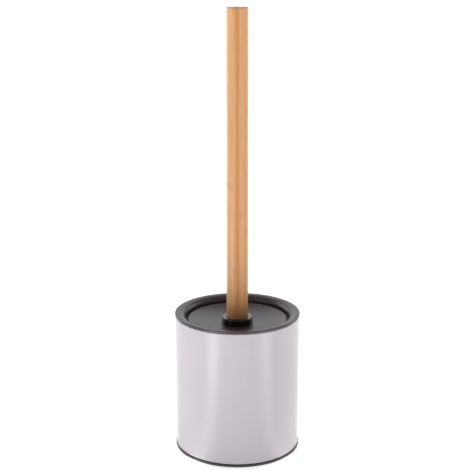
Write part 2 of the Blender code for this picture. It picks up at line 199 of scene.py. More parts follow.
def rounded(corners, closed=False):
    """An outline in the (radius, height) plane, its corners rounded by the fillet given third.

    The arc touches both edges: its centre lies on the bisector, fillet / sin(half angle) away,
    and a fillet takes at most half of the shorter edge."""
    places = np.array([corner[:2] for corner in corners], float)
    outline = []
    for index, corner in enumerate(corners):
        here = places[index]
        fillet = corner[2] if len(corner) > 2 else 0.0
        if fillet <= 0.0 or (not closed and index in (0, len(corners) - 1)):
            outline.append(here[None])
            continue
        back = places[index - 1] - here
        on = places[(index + 1) % len(corners)] - here
        lengths = np.linalg.norm(back), np.linalg.norm(on)
        back, on = back / lengths[0], on / lengths[1]
        half = math.acos(np.clip(back @ on, -1, 1)) / 2
        run = min(fillet / math.tan(half), *(length / 2 for length in lengths))
        fillet = run * math.tan(half)
        bisector = (back + on) / np.linalg.norm(back + on)
        centre = here + bisector * fillet / math.sin(half)
        first, last = here + back * run - centre, here + on * run - centre
        start = math.atan2(first[1], first[0])
        sweep = (math.atan2(last[1], last[0]) - start + math.pi) % TURN - math.pi
        angles = start + sweep * np.linspace(0, 1, FILLET_STEPS + 1)
        outline.append(centre + fillet * np.stack([np.cos(angles), np.sin(angles)], 1))
    outline = np.concatenate(outline)
    return np.concatenate([outline, outline[:1]]) if closed else outline


def ellipse(centre, across, up, start, end, steps=CURVE_STEPS):
    """Points centre + (across cos a, up sin a), for angles a from start to end in degrees."""
    angles = np.radians(np.linspace(start, end, steps + 1))
    return np.stack([centre[0] + across * np.cos(angles), centre[1] + up * np.sin(angles)], 1)


def turns_round(count, extra=()):
    """Even turns from 0 to a whole one, both ends kept so that the skin closes, and extra ones."""
    return np.append(np.union1d(np.arange(count) / count * TURN, extra), TURN)


def turned(outline, turns, centre=(0.0, 0.0)):
    """Grid of a surface of revolution: (r, z) at turn t lies at (r cos t, r sin t, z) + centre."""
    radius, height = np.asarray(outline, float).T
    return np.stack(
        [
            centre[0] + np.outer(radius, np.cos(turns)),
            centre[1] + np.outer(radius, np.sin(turns)),
            np.repeat(height[:, None], len(turns), 1),
        ],
        -1,
    )


def faces_of(grids):
    """Quads between neighbours in each grid, which may be a stack of grids, and all the points."""
    quads, start = [], 0
    for grid in grids:
        rows, columns = grid.shape[-3:-1]
        index = start + np.arange(grid.size // 3).reshape(-1, rows, columns)
        corners = index[:, :-1, :-1], index[:, 1:, :-1], index[:, 1:, 1:], index[:, :-1, 1:]
        quads.append(np.stack(corners, -1).reshape(-1, 4))
        start += grid.size // 3
    return np.concatenate([grid.reshape(-1, 3) for grid in grids]), np.concatenate(quads)


def skin(name, grids):
    """One closed mesh from grids of points in millimetres.

    Equal points become one, a quad with two equal corners becomes a triangle, and the faces are
    turned outwards: the sum of a x b . c over the triangles, six times the volume, is positive."""
    points, faces = faces_of(grids)
    keys = np.round(points, MERGE_PLACES) + 0.0
    _, first, inverse = np.unique(keys, axis=0, return_index=True, return_inverse=True)
    points, faces = points[first] * MM, inverse.reshape(-1)[faces]
    same = faces == np.roll(faces, -1, axis=1)
    quads = faces[same.sum(1) == 0]
    pinched, spare = faces[same.sum(1) == 1], same[same.sum(1) == 1].argmax(1)
    thirds = np.take_along_axis(pinched, (spare[:, None] + 1 + np.arange(3)) % 4, 1)
    triangles = np.concatenate([quads[:, [0, 1, 2]], quads[:, [0, 2, 3]], thirds])
    a, b, c = (points[triangles[:, corner]] for corner in range(3))
    if np.einsum("ij,ij->", np.cross(a, b), c) < 0:
        quads, thirds = quads[:, ::-1], thirds[:, ::-1]
    mesh = bpy.data.meshes.new(name)
    mesh.vertices.add(len(points))
    mesh.vertices.foreach_set("co", points.ravel())
    mesh.loops.add(quads.size + thirds.size)
    mesh.loops.foreach_set("vertex_index", np.concatenate([quads.ravel(), thirds.ravel()]))
    mesh.polygons.add(len(quads) + len(thirds))
    starts = np.concatenate([4 * np.arange(len(quads)), quads.size + 3 * np.arange(len(thirds))])
    mesh.polygons.foreach_set("loop_start", starts)
    mesh.update(calc_edges=True)
    mesh.validate()
    mesh.shade_smooth()
    mesh.set_sharp_from_angle(angle=SHARP_ANGLE)
    return mesh


def piece(name, grids, material, body, node):
    """A skin in place of a CAD node, riding on its body and wearing the material it is given."""
    mesh = skin(name, grids)
    mesh.materials.append(material)
    made = bpy.data.objects.new(name, mesh)
    bpy.context.scene.collection.objects.link(made)
    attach(made, body)
    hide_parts(node)
    return made


def bell(distance, width):
    """A smooth bump of height 1 over distance 0: exp(-(distance / width) squared)."""
    return np.exp(-((distance / width) ** 2))


# ---------------------------------------------------------------- holder


def make_sleeve():
    """Sheet with a hem folded in at both ends. Its weld dips the outside and beads the inside:
    r = r0 -+ bell(distance round from the seam)."""
    radius, low, high = reach_of("sleeve")
    hem, wall = radius - 2 * SHEET, radius - SHEET
    leaf = wall - HEM_OPENING
    upper = [
        (wall, high - HEM_DEPTH + HEM_OPENING_DEPTH),
        (leaf, high - HEM_DEPTH + HEM_OPENING_DEPTH),
        (leaf, high - HEM_DEPTH, HEM_OPENING),
        (hem, high - HEM_DEPTH, SHEET / 3),
        (hem, high, SHEET),
        (radius, high, SHEET),
    ]
    lower = [(r, low + high - z, *fillet) for r, z, *fillet in reversed(upper)]
    near = SEAM_TURN + np.linspace(-3, 3, SEAM_STEPS + 1) * SEAM_WIDTH / radius
    turns = turns_round(SIDES, near)
    grid = turned(rounded(upper + lower, closed=True), turns)
    distance = (turns - SEAM_TURN) * radius
    flat_radius = np.linalg.norm(grid[..., :2], axis=-1)
    outside = np.clip((flat_radius - wall) / SHEET, 0, 1)
    inside = np.clip((wall - flat_radius) / SHEET + 1, 0, 1) * (flat_radius <= wall + FIT_GAP)
    shift = -SEAM_DEPTH * outside - SEAM_BEAD * np.where(flat_radius < wall + SHEET / 2, inside, 0)
    grid[..., :2] *= (1 + shift * bell(distance, SEAM_WIDTH) / flat_radius)[..., None]
    return piece("painted_sleeve", [grid], WHITE_PAINT, "holder", "sleeve")


def make_base_cap():
    """Turned cap, a turned recess under it, and between them four quarter panels with a pocket.

    A panel's point is (1 - t) times the pocket's circle plus t times the quarter's edge, taken
    in the same direction from the pocket's centre."""
    radius, low, _ = reach_of("base_cap")
    top = low + BASE_THICKNESS
    sleeve_radius, sleeve_low, _ = reach_of("sleeve")
    spigot = sleeve_radius - 2 * SHEET - FIT_GAP
    spigot_top = top + SPIGOT_HEIGHT
    bead_low = sleeve_low + HEM_DEPTH + FIT_GAP
    bead_out = sleeve_radius - SHEET - FIT_GAP
    flat = radius - BRIM_FILLET
    corners = [
        (0.0, top),
        (spigot - SPIGOT_WALL, top, 1.2),
        (spigot - SPIGOT_WALL, spigot_top, 0.4),
        (spigot, spigot_top, 0.6),
        (spigot, bead_low + BEAD_HEIGHT),
        (bead_out, bead_low + BEAD_HEIGHT / 2, 0.3),
        (spigot, bead_low),
        (spigot, top, 0.2),
        (radius, top, BRIM_FILLET),
        (radius, low, BRIM_FILLET),
        (flat, low),
    ]
    turns = turns_round(SIDES)
    recess_top = low + RECESS_DEPTH
    recess = [(RECESS_RADIUS, low), (RECESS_RADIUS - RECESS_DRAFT, recess_top), (0.0, recess_top)]
    grids = [turned(rounded(corners), turns), turned(recess, turns)]
    for number in range(1, FOOT_COUNT + 1):
        foot_low, foot_high = (np.array(corner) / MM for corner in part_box(f"foot_pad_{number}"))
        centre = (foot_low[:2] + foot_high[:2]) / 2
        pocket = (foot_high[0] - foot_low[0]) / 2 + FIT_GAP
        ceiling = foot_high[2] + FIT_GAP
        middle = math.atan2(centre[1], centre[0])
        arc = middle + np.linspace(-1, 1, SIDES // FOOT_COUNT + 1) * TURN / (2 * FOOT_COUNT)
        side = np.linspace(flat, RECESS_RADIUS, PANEL_STEPS + 1)[1:-1]
        outer, inner = np.full(len(arc), flat), np.full(len(arc), RECESS_RADIUS)
        first, last = np.full(len(side), arc[0]), np.full(len(side), arc[-1])
        distance = np.concatenate([outer, side, inner, side[::-1], outer[:1]])
        angle = np.concatenate([arc, last, arc[::-1], first, arc[:1]])
        edge = distance[:, None] * np.stack([np.cos(angle), np.sin(angle)], 1)
        outward = edge - centre
        circle = centre + pocket * outward / np.linalg.norm(outward, axis=1)[:, None]
        share = np.linspace(0, 1, POCKET_STEPS + 1)[:, None, None]
        panel = (1 - share) * circle + share * edge
        panel = np.concatenate([panel, np.full((*panel.shape[:2], 1), low)], -1)
        well = np.stack([circle, circle, np.broadcast_to(centre, circle.shape)])
        heights = np.array([low, ceiling, ceiling])[:, None, None]
        heights = np.broadcast_to(heights, (3, len(circle), 1))
        grids += [panel, np.concatenate([well, heights], -1)]
    return piece("base_cap_moulding", grids, GRAINED_BLACK, "holder", "base_cap")


def make_foot_pads():
    """Soft discs with rounded edges, each turned about its own centre."""
    for number in range(1, FOOT_COUNT + 1):
        node = f"foot_pad_{number}"
        low, high = (np.array(corner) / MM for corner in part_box(node))
        radius, height = (high[0] - low[0]) / 2, high[2]
        corners = [(0.0, height), (radius, height, 0.15), (radius, 0.0, 0.3), (0.0, 0.0)]
        grid = turned(rounded(corners), turns_round(FINE_SIDES), (low[:2] + high[:2]) / 2)
        piece(f"foam_pad_{number}", [grid], PAD_FOAM, "holder", node)


# ---------------------------------------------------------------- liner and lid


def make_liner():
    """Bucket, ledge, rolled rim and skirt. The rim's inside is a quarter ellipse that falls from
    the flat crest to the lip."""
    radius, low, crest = reach_of("liner")
    rim_low = crest - RIM_HEIGHT
    crest_radius = radius - CREST_INSET
    lip_radius = radius - RIM_WIDTH
    lip = crest - RIM_FALL
    ledge = reach_of("lid")[2] - LID_THICKNESS - FIT_GAP
    mouth = lip_radius - LEDGE_WIDTH
    end = mouth - BUCKET_TAPER
    skirt = reach_of("sleeve")[0] - 2 * SHEET - FIT_GAP
    wall_out = lip_radius + LINER_WALL
    roll = ellipse((crest_radius, lip), crest_radius - lip_radius, RIM_FALL, 180, 90)
    corners = [
        (0.0, low + BUCKET_FLOOR),
        (end, low + BUCKET_FLOOR, BUCKET_CORNER - LINER_WALL),
        (mouth, ledge, 0.5),
        (lip_radius, ledge, 0.3),
        *roll,
        (radius, crest, CREST_INSET / 2),
        (radius, rim_low, 0.3),
        (skirt, rim_low, 0.1),
        (skirt, rim_low - LINER_SKIRT_DEPTH, 0.5),
        (skirt - LINER_WALL, rim_low - LINER_SKIRT_DEPTH, 0.5),
        (skirt - LINER_WALL, crest - RIM_WALL, 0.4),
        (wall_out, lip, 0.4),
        (wall_out, ledge - LINER_WALL, 0.8),
        (mouth + LINER_WALL, ledge - LINER_WALL, 0.4),
        (end + LINER_WALL, low, BUCKET_CORNER),
        (0.0, low),
    ]
    grid = turned(rounded(corners), turns_round(SIDES))
    return piece("liner_moulding", [grid], GRAINED_BLACK, "liner", "liner")


def make_lid():
    """Dished disc: height rises with the square of the way out from the flat floor to the edge."""
    radius, skirt_low, top = reach_of("lid")
    hole = reach_of("stem")[0] - FLANGE_WIDTH + FIT_GAP
    skirt = reach_of("liner")[0] - RIM_WIDTH - LEDGE_WIDTH - SKIRT_CLEARANCE
    skirt_in = skirt - LID_SKIRT_WALL
    share = np.linspace(0, 1, CURVE_STEPS + 1)
    start = reach_of("collar")[0] + DISH_FLAT_MARGIN
    heights = top - DISH_DEPTH * (1 - share**2)
    dish = np.stack([start + (radius - LID_EDGE - start) * share, heights], 1)
    under = dish[::-1] - (0.0, LID_THICKNESS)
    under = under[under[:, 0] < skirt_in - 0.5]
    corners = [
        (hole, top - DISH_DEPTH, 0.2),
        *dish,
        (radius, top, 0.6),
        (radius, top - LID_THICKNESS, 0.3),
        (skirt, top - LID_THICKNESS, 0.2),
        (skirt, skirt_low, 0.4),
        (skirt_in, skirt_low, 0.4),
        (skirt_in, under[0][1] + 0.4, 0.3),
        *under,
        (hole, top - DISH_DEPTH - LID_THICKNESS, 0.2),
    ]
    grid = turned(rounded(corners, closed=True), turns_round(SIDES))
    return piece("dished_lid", [grid], GRAINED_BLACK, "lid", "lid")


# ---------------------------------------------------------------- brush


def make_collar():
    """Ring with a shallow socket for the handle's foot."""
    radius, low, top = reach_of("collar")
    socket = reach_of("handle")[0] + FIT_GAP
    bore = reach_of("stud")[0] + FIT_GAP
    seat = top - COLLAR_SOCKET_DEPTH
    corners = [
        (socket, top, 0.15),
        (radius, top, 0.9),
        (radius, low, 0.5),
        (bore, low, 0.2),
        (bore, seat, 0.2),
        (socket, seat, 0.1),
    ]
    grid = turned(rounded(corners, closed=True), turns_round(FINE_SIDES))
    return piece("polished_collar", [grid], GLOSS_BLACK, "brush", "collar")


def make_handle():
    """Turned rod with eased ends and a blind bore in its foot."""
    radius, foot, top = reach_of("handle")
    bore = reach_of("handle_insert")[0] + FIT_GAP
    bore_end = reach_of("stud")[2] + BORE_END_SPACE
    corners = [
        (0.0, top),
        (radius, top, HANDLE_EDGE),
        (radius, foot, 0.3),
        (bore, foot, 0.2),
        (bore, bore_end, 0.3),
        (0.0, bore_end),
    ]
    grid = turned(rounded(corners), turns_round(FINE_SIDES))
    return piece("bamboo_handle", [grid], BAMBOO, "brush", "handle")


def threaded(root, height, pitch, sharpness, low, high, turns):
    """Grid of a threaded face: r = root + height * w, with w = (1/2 + 1/2 cos(2 pi z / pitch - t))
    to the power of sharpness, fading out over one pitch at both ends."""
    rows = int((high - low) / pitch * ROWS_PER_PITCH)
    z = np.linspace(low, high, rows)[:, None]
    wave = (0.5 + 0.5 * np.cos(TURN * z / pitch - turns)) ** sharpness
    radius = root + height * wave * np.clip(np.minimum(z - low, high - z) / pitch, 0, 1)
    return np.stack([radius * np.cos(turns), radius * np.sin(turns), z + 0 * radius], -1)


def make_stud():
    """Rod threaded from end to end, with chamfered flat ends."""
    radius, low, high = reach_of("stud")
    turns = turns_round(FINE_SIDES // 2)
    root = radius - STUD_THREAD
    span = low + STUD_CHAMFER, high - STUD_CHAMFER
    face = threaded(root, STUD_THREAD, STUD_PITCH, 1, *span, turns)
    ends = [turned([(0.0, z), (root - STUD_CHAMFER, z)], turns) for z in (low, high)]
    grid = np.concatenate([ends[0], face, ends[1][::-1]])
    return piece("threaded_stud", [grid], ZINC_STEEL, "brush", "stud")


def make_insert():
    """Bush with a coarse sharp thread outside, which bites into the wood, and a fine one inside."""
    radius, *span = reach_of("handle_insert")
    turns = turns_round(FINE_SIDES)
    root, bore = radius - INSERT_THREAD, radius - INSERT_WALL
    outside = threaded(root, INSERT_THREAD, INSERT_PITCH, INSERT_SHARPNESS, *span, turns)
    inside = threaded(bore, STUD_THREAD / 3, STUD_PITCH, 1, *span, turns)[::-1]
    grid = np.concatenate([outside, inside, outside[:1]])
    return piece("brass_insert", [grid], BRASS, "brush", "handle_insert")


def make_stem():
    """Hub, flange, shaft and plug, with a bore for the stud."""
    flange, plug_low, hub_top = reach_of("stem")
    hub = flange - FLANGE_WIDTH
    bore = reach_of("stud")[0] + FIT_GAP
    bore_end = reach_of("stud")[1] - BORE_END_SPACE
    shaft_low = reach_of("head_core")[2] + FIT_GAP
    flange_top = hub_top - FLANGE_DROP
    corners = [
        (0.0, bore_end),
        (bore, bore_end, 0.3),
        (bore, hub_top, 0.3),
        (hub, hub_top, 0.3),
        (hub, flange_top, 0.2),
        (flange, flange_top, 0.4),
        (flange, flange_top - FLANGE_THICKNESS, 0.8),
        (hub, flange_top - FLANGE_THICKNESS, 1.2),
        (hub, shaft_low, 0.3),
        (PLUG_RADIUS, shaft_low, 0.2),
        (PLUG_RADIUS, plug_low, 0.6),
        (0.0, plug_low),
    ]
    grid = turned(rounded(corners), turns_round(FINE_SIDES))
    return piece("stem_moulding", [grid], GRAINED_BLACK, "brush", "stem")


def row_places():
    """(middle height, reach) of each row of tufts, from the lowest up."""
    spans = [reach_of(f"bristle_row_{number}") for number in range(1, ROW_COUNT + 1)]
    return [((low + high) / 2, radius) for radius, low, high in spans]


def make_head_core():
    """Socketed core with a domed end. Its side is drilled: a hole at each tuft takes HOLE_DEPTH
    off the radius, with a steep smooth edge."""
    radius, low, high = reach_of("head_core")
    plug = PLUG_RADIUS + FIT_GAP
    socket_end = high - PLUG_LENGTH - FIT_GAP
    heights = np.array([place[0] for place in row_places()])
    side = np.linspace(high - CORE_SIDE_ENDS[0], low + CORE_SIDE_ENDS[1], CORE_SIDE_ROWS)
    corners = [
        (0.0, socket_end),
        (plug, socket_end, 0.3),
        (plug, high, 0.3),
        (radius, high, CORE_SHOULDER),
        *[(radius, z) for z in side],
        (radius, low, CORE_DOME),
        (0.0, low),
    ]
    turns = turns_round(FINE_SIDES * 2)
    grid = turned(rounded(corners), turns)
    flat_radius = np.linalg.norm(grid[..., :2], axis=-1)
    row = np.abs(grid[..., 2][..., None] - heights).argmin(-1)
    step = TURN / TUFTS_PER_ROW
    away = (turns - row % 2 * step / 2 + step / 2) % step - step / 2
    distance = np.hypot(away * radius, grid[..., 2] - heights[row])
    depth = HOLE_DEPTH * np.clip((HOLE_RADIUS - distance) / HOLE_EDGE, 0, 1)
    depth = depth * (flat_radius > radius - 0.01)
    grid[..., :2] *= (1 - depth / np.maximum(flat_radius, 1e-6))[..., None]
    return piece("head_core_moulding", [grid], GRAINED_BLACK, "brush", "head_core")


def filaments(roots, ends, side, other, chance):
    """Stack of grids of thin tubes from roots to ends, with a crimp that grows from the root.

    At s from 0 to 1 the line is root + s (end - root) + h sin(2 pi length s / CRIMP_LENGTH + a
    random phase), in a random direction between side and other, where h is CRIMP_HEIGHT times the
    smaller of 3 s and 1. Both ends of a tube close on its line."""
    share = np.linspace(0, 1, FILAMENT_STATIONS)[None, :, None]
    length = np.linalg.norm(ends - roots, axis=-1)[:, None, None]
    phase = chance.uniform(0, TURN, (len(roots), 1, 1))
    swing = TURN * length * share / CRIMP_LENGTH + phase
    lean = chance.uniform(0, TURN, (len(roots), 1, 1))
    across = side[:, None] * np.cos(lean) + other[:, None] * np.sin(lean)
    line = roots[:, None] + share * (ends - roots)[:, None]
    line = line + CRIMP_HEIGHT * np.minimum(3 * share, 1) * np.sin(swing) * across
    corners = np.append(np.arange(FILAMENT_SIDES), 0) * TURN / FILAMENT_SIDES
    ring = (
        side[:, None, None] * np.cos(corners)[:, None]
        + other[:, None, None] * np.sin(corners)[:, None]
    )
    tube = line[:, :, None] + FILAMENT_RADIUS * ring
    ends_closed = np.broadcast_to(line[:, [0, -1], None], (len(roots), 2, FILAMENT_SIDES + 1, 3))
    return np.concatenate([ends_closed[:, :1], tube, ends_closed[:, 1:]], 1)


def make_bristle_row(number, middle, reach, chance):
    """A ring of tufts. In each, the roots fill a small disc and the ends spread from it, cut to
    the row's reach."""
    core = reach_of("head_core")[0]
    count = TUFTS_PER_ROW * FILAMENTS_PER_TUFT
    tuft = np.repeat(np.arange(TUFTS_PER_ROW), FILAMENTS_PER_TUFT)
    turn = (tuft + 0.5 * ((number - 1) % 2)) * TURN / TUFTS_PER_ROW
    out = np.sqrt(chance.uniform(0, 1, count))
    round_tuft = chance.uniform(0, TURN, count)
    across = TUFT_RADIUS * out * np.cos(round_tuft)
    up = TUFT_RADIUS * out * np.sin(round_tuft)
    end_across = across * TUFT_FAN_ROUND[0] + chance.normal(0, TUFT_FAN_ROUND[1], count)
    end_up = up * TUFT_FAN_UP[0] + chance.normal(0, TUFT_FAN_UP[1], count)
    cut = reach - FILAMENT_RADIUS - CRIMP_HEIGHT - np.abs(chance.normal(0, TRIM_SPREAD, count))
    end_out = np.sqrt(np.maximum(cut**2 - end_across**2, core**2))
    radial = np.stack([np.cos(turn), np.sin(turn), 0 * turn], 1)
    side = np.stack([-np.sin(turn), np.cos(turn), 0 * turn], 1)
    upright = np.tile([0.0, 0.0, 1.0], (count, 1))
    root_up, tip_up = upright * (middle + up)[:, None], upright * (middle + end_up)[:, None]
    roots = radial * (core - ROOT_DEPTH) + side * across[:, None] + root_up
    ends = radial * end_out[:, None] + side * end_across[:, None] + tip_up
    grids = [filaments(roots, ends, side, upright, chance)]
    name, node = f"bristle_tufts_{number}", f"bristle_row_{number}"
    return piece(name, grids, NYLON, "brush", node)


def make_bristle_tip(chance):
    """Filaments under the core's dome: the further out the root, the wider and higher the end."""
    spread, low, high = reach_of("bristle_tip")
    out = np.sqrt(chance.uniform(0, 1, TIP_FILAMENTS))
    turn = chance.uniform(0, TURN, TIP_FILAMENTS)
    radial = np.stack([np.cos(turn), np.sin(turn), 0 * turn], 1)
    side = np.stack([-np.sin(turn), np.cos(turn), 0 * turn], 1)
    upright = np.tile([0.0, 0.0, 1.0], (TIP_FILAMENTS, 1))
    roots = radial * (TIP_ROOT_RADIUS * out)[:, None] + upright * (high + TIP_ROOT_DEPTH)
    trim = np.abs(chance.normal(0, TRIM_SPREAD, TIP_FILAMENTS)) + CRIMP_HEIGHT
    end_height = low + trim + TIP_RISE * out**3
    ends = radial * (spread * out - trim)[:, None] + upright * end_height[:, None]
    grids = [filaments(roots, ends, radial, side, chance)]
    return piece("bristle_tuft_tip", grids, NYLON, "brush", "bristle_tip")


# ---------------------------------------------------------------- finishes


def tone(red, green, blue):
    """Linear colour of an sRGB one given from 0 to 255."""
    share = np.array([red, green, blue]) / 255
    linear = np.where(share <= 0.04045, share / 12.92, ((share + 0.055) / 1.055) ** 2.4)
    return (*linear.tolist(), 1.0)


class Finish:
    """A procedural material that reads the piece's own Object coordinates, in metres."""

    def __init__(self, name, **settings):
        self.material = bpy.data.materials.new(name)
        self.material.use_nodes = True
        self.tree = self.material.node_tree
        self.shader = self.tree.nodes["Principled BSDF"]
        self.place = self.add("TexCoord").outputs["Object"]
        for socket, value in settings.items():
            self.set(socket.replace("_", " "), value)

    def add(self, kind, inputs=(), **settings):
        """A new node with its settings, and its inputs given by name or number."""
        node = self.tree.nodes.new("ShaderNode" + kind)
        for setting, value in settings.items():
            setattr(node, setting, value)
        for socket, value in dict(inputs).items():
            self.wire(value, node.inputs[socket])
        return node

    def wire(self, value, socket):
        if isinstance(value, bpy.types.NodeSocket):
            self.tree.links.new(value, socket)
        else:
            socket.default_value = value

    def set(self, socket, value):
        """Gives one of the shader's sockets a value, or the output of a node."""
        self.wire(value, self.shader.inputs[socket])

    def scaled(self, x, y, z, place=None):
        """The place multiplied axis by axis, which stretches a pattern along the small ones."""
        return self.add("Mapping", {"Vector": place or self.place, "Scale": (x, y, z)}).outputs[0]

    def noise(self, scale, detail=3.0, roughness=0.5, place=None):
        inputs = {"Vector": place or self.place, "Scale": scale}
        inputs |= {"Detail": detail, "Roughness": roughness}
        return self.add("TexNoise", inputs).outputs["Fac"]

    def cells(self, scale, place=None, feature="F1", output="Distance"):
        inputs = {"Vector": place or self.place, "Scale": scale}
        return self.add("TexVoronoi", inputs, feature=feature).outputs[output]

    def reckon(self, first, second, operation="ADD"):
        """Adds two values, or works them by another of the Math node's operations."""
        return self.add("Math", {0: first, 1: second}, operation=operation).outputs[0]

    def remap(self, value, low, high, new_low, new_high, smooth=False):
        """Carries the range low..high to new_low..new_high, held at its ends."""
        inputs = {"Value": value, "From Min": low, "From Max": high}
        inputs |= {"To Min": new_low, "To Max": new_high}
        kind = "SMOOTHSTEP" if smooth else "LINEAR"
        return self.add("MapRange", inputs, interpolation_type=kind).outputs["Result"]

    def blend(self, share, first, second, kind="MIX"):
        """Mixes two colours."""
        node = self.add("Mix", {0: share, 6: first, 7: second}, data_type="RGBA", blend_type=kind)
        return node.outputs[2]

    def bump(self, height, distance, strength=1.0, under=None):
        """Raises the surface by a height over a distance in millimetres, on top of another bump."""
        inputs = {"Height": height, "Distance": distance * MM, "Strength": strength}
        if under:
            inputs["Normal"] = under
        return self.add("Bump", inputs).outputs["Normal"]


def make_white_paint():
    """Gloss powder coat: faint orange peel, a finer grain in it, and a slightly uneven gloss."""
    paint = Finish("gloss_white_powder_coat", Specular_IOR_Level=0.5, IOR=1.5)
    cloud = paint.noise(22.0, 4.0)
    paint.set("Base Color", paint.blend(cloud, tone(207, 200, 207), tone(212, 205, 211)))
    smudge = paint.noise(60.0, 5.0, 0.6)
    paint.set("Roughness", paint.remap(smudge, 0.3, 0.7, 0.12, 0.17))
    peel = paint.noise(650.0, 2.0, 0.4)
    grain = paint.noise(4200.0, 2.0, 0.6)
    wave = paint.bump(peel, 0.012)
    paint.set("Normal", paint.bump(grain, 0.004, under=wave))
    return paint.material


def make_grained_black():
    """Moulded plastic with a spark-eroded grain, and a painted sheen: paler where the grain stands
    up.
    """
    plastic = Finish("fine_grained_black_plastic", Specular_IOR_Level=0.66, IOR=1.5)
    grain = plastic.cells(2600.0)
    fine = plastic.noise(5200.0, 3.0, 0.6)
    cloud = plastic.noise(35.0, 4.0, 0.6)
    base = plastic.blend(cloud, tone(55, 45, 54), tone(63, 52, 62))
    # Painted sheen: the colour is paler where the grain stands up
    painted_grain_sheen = plastic.remap(grain, 0.1, 0.6, 0.0, 0.5)
    plastic.set("Base Color", plastic.blend(painted_grain_sheen, base, tone(73, 61, 72)))
    plastic.set("Roughness", plastic.remap(plastic.reckon(cloud, fine), 0.7, 1.3, 0.29, 0.37))
    pits = plastic.bump(grain, 0.018)
    plastic.set("Normal", plastic.bump(fine, 0.006, under=pits))
    return plastic.material


def make_gloss_black():
    """Polished plastic with the faintest swirl of polishing and a few finger marks."""
    gloss = Finish("polished_black_plastic", Specular_IOR_Level=0.6, IOR=1.55)
    marks = gloss.noise(140.0, 5.0, 0.65)
    gloss.set("Base Color", gloss.blend(marks, tone(10, 10, 11), tone(15, 15, 16)))
    gloss.set("Roughness", gloss.remap(marks, 0.35, 0.75, 0.07, 0.16))
    swirl = gloss.noise(900.0, 2.0, 0.5, gloss.scaled(1.0, 1.0, 6.0))
    gloss.set("Normal", gloss.bump(swirl, 0.003))
    return gloss.material


def make_bamboo():
    """Rod turned from glued strips: each strip has its own tone, fibres run along it as streaks
    and show as dots on the end, growth nodes cross a strip here and there, and a band down the
    middle of x, which meets the rod at its front and its back, is darker."""
    wood = Finish("laminated_bamboo", Specular_IOR_Level=0.5, IOR=1.5)
    axes = wood.add("SeparateXYZ", {0: wood.place}).outputs
    sway = wood.noise(9.0, 2.0, 0.5, wood.scaled(6.0, 6.0, 1.0))
    x = wood.reckon(axes[0], wood.reckon(sway, STRIP_SWAY, "MULTIPLY"))
    column, layer = (
        wood.reckon(wood.reckon(wood.reckon(along, offset), width, "DIVIDE"), 0.0, "FLOOR")
        for along, (offset, width) in ((x, STRIP_COLUMN), (axes[1], STRIP_LAYER))
    )
    strip = wood.add("CombineXYZ", {0: column, 1: layer, 2: 0.5}).outputs[0]
    own = wood.add("TexWhiteNoise", {0: strip}).outputs["Value"]
    pale, tan, orange = tone(236, 189, 137), tone(223, 167, 112), tone(210, 146, 86)
    ramp = wood.add("ValToRGB", {0: own})
    stops = ramp.color_ramp.elements
    stops[0].color, stops[1].color = pale, orange
    stops.new(0.55).color = tan
    streak = wood.noise(1.0, 4.0, 0.6, wood.scaled(700.0, 700.0, 9.0))
    fibre = wood.noise(1.0, 3.0, 0.65, wood.scaled(2600.0, 2600.0, 30.0))
    bundle = wood.cells(1.0, wood.scaled(1150.0, 1150.0, 16.0))
    streak_share = wood.remap(streak, 0.45, 0.7, 0.0, 0.55)
    colour = wood.blend(streak_share, ramp.outputs[0], tone(196, 137, 82))
    colour = wood.blend(wood.remap(fibre, 0.5, 0.8, 0.0, 0.45), colour, tone(236, 197, 152))
    colour = wood.blend(wood.remap(bundle, 0.12, 0.3, 0.35, 0.0, True), colour, tone(150, 96, 54))
    shifted = wood.reckon(axes[2], wood.reckon(own, NODE_SHIFT, "MULTIPLY"))
    lift = wood.reckon(shifted, NODE_SPACING, "DIVIDE")
    cross = wood.reckon(wood.reckon(lift, 0.0, "FRACT"), 0.5, "SUBTRACT")
    ripple = wood.noise(1.0, 3.0, 0.5, wood.scaled(420.0, 420.0, 90.0))
    wobble = wood.reckon(ripple, 0.02, "MULTIPLY")
    near = wood.reckon(wood.reckon(cross, wobble), 0.0, "ABSOLUTE")
    node = wood.remap(near, 0.004, 0.02, 0.22, 0.0, True)
    colour = wood.blend(node, colour, tone(176, 118, 70))
    # Darker in a band down the middle of x, which meets the rod at its front and its back
    offset, *fade = MIDDLE_BAND
    middle_band = wood.reckon(wood.reckon(x, offset), 0.0, "ABSOLUTE")
    middle_band = wood.remap(middle_band, *fade, 0.7, 0.0, True)
    colour = wood.blend(middle_band, colour, tone(204, 132, 72))
    wood.set("Base Color", colour)
    wood.set("Roughness", wood.remap(wood.reckon(streak, fibre), 0.7, 1.3, 0.30, 0.42))
    grooves = wood.bump(bundle, 0.02, 0.7)
    wood.set("Normal", wood.bump(fibre, 0.012, 0.8, under=grooves))
    return wood.material


def make_pad_foam():
    """Dense foam with open pores, darker towards their middles with painted shade."""
    foam = Finish("dense_black_foam", Specular_IOR_Level=0.3, IOR=1.45)
    pores = foam.cells(1500.0)
    speck = foam.noise(3000.0, 3.0, 0.6)
    # Painted shade: the colour darkens towards each pore's middle
    painted_pore_shade = foam.remap(pores, 0.0, 0.5, 1.0, 0.0)
    foam.set("Base Color", foam.blend(painted_pore_shade, tone(58, 56, 56), tone(20, 20, 20)))
    foam.set("Roughness", foam.remap(speck, 0.3, 0.7, 0.8, 0.95))
    foam.set("Normal", foam.bump(pores, 0.12, under=foam.bump(speck, 0.03)))
    return foam.material


def make_metal(name, clean, dull, bright_roughness, dull_roughness):
    """Machined metal: fine rings round the axis, and patches that have dulled."""
    metal = Finish(name, Metallic=1.0)
    patch = metal.noise(260.0, 5.0, 0.6)
    rings = metal.noise(1.0, 2.0, 0.5, metal.scaled(60.0, 60.0, 9000.0))
    metal.set("Base Color", metal.blend(metal.remap(patch, 0.4, 0.65, 0.0, 1.0), clean, dull))
    metal.set("Roughness", metal.remap(patch, 0.35, 0.7, bright_roughness, dull_roughness))
    metal.set("Normal", metal.bump(rings, 0.004))
    return metal.material


